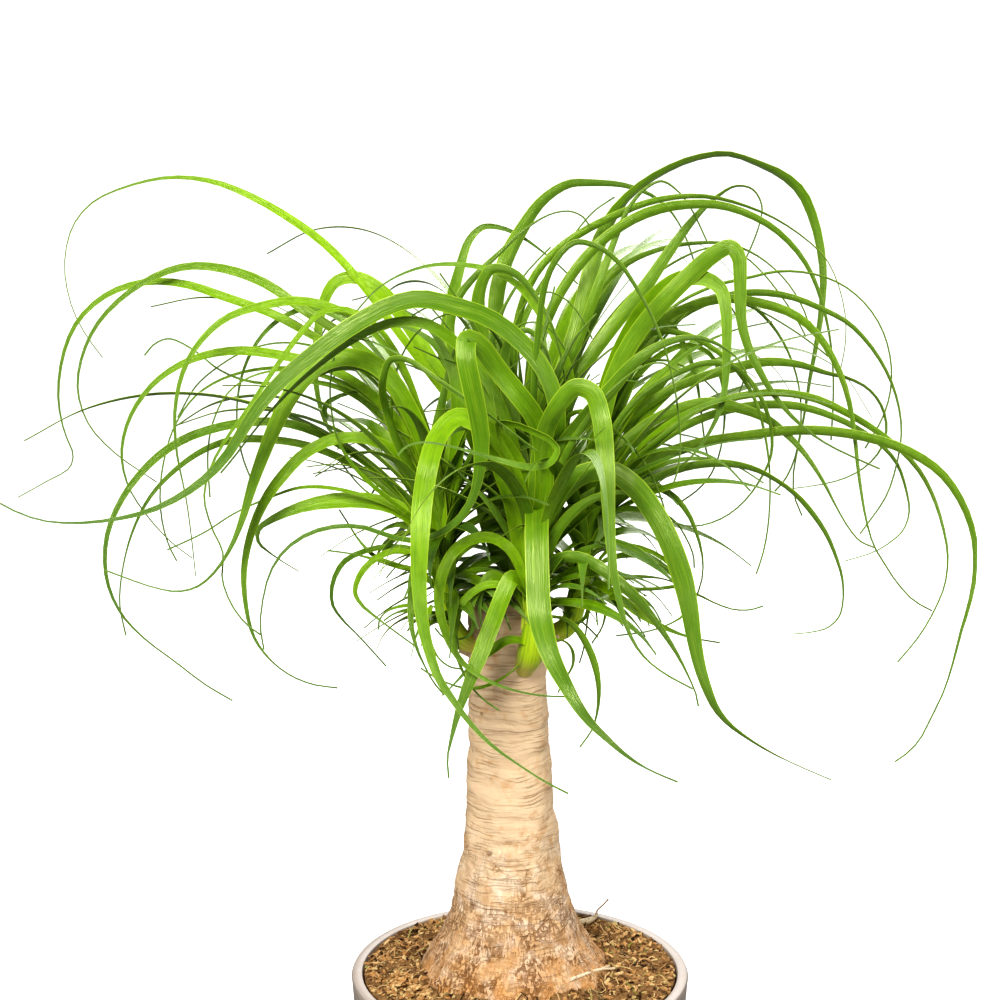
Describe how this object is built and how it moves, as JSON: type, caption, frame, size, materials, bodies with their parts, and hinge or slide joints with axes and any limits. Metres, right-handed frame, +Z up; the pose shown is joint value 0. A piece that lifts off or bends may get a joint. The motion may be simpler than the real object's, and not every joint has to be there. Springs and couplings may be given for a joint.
{
  "type": "potted ponytail palm",
  "caption": "Potted ponytail palm: a swollen ring-scarred trunk in a round plastic pot, cut off at the top, with shoots of long arching strap leaves.",
  "frame": {"origin": "centre of the pot's underside, where it rests", "axes": "+Z up along the pot's axis, -Y towards the viewer of the picture, +X to the viewer's right"},
  "size_m": [0.4692, 0.4637, 0.5368],
  "materials": {
    "pot_plastic": "smooth, matt to satin pale taupe plastic",
    "soil": "coarse brown peat with fibres",
    "bark": "pale tan bark with ring scars and fine cracks",
    "leaf": "satin green strap leaf, brighter at the foot",
    "dry_stalk": "dry pale straw"
  },
  "bodies": {
    "root": {"pot": "pot_plastic", "soil": "soil", "trunk": "bark", "shoot_left": "leaf", "shoot_front": "leaf", "shoot_right": "leaf", "shoot_back": "leaf", "straw": "dry_stalk", "twig": "dry_stalk"}
  },
  "joints": []
}
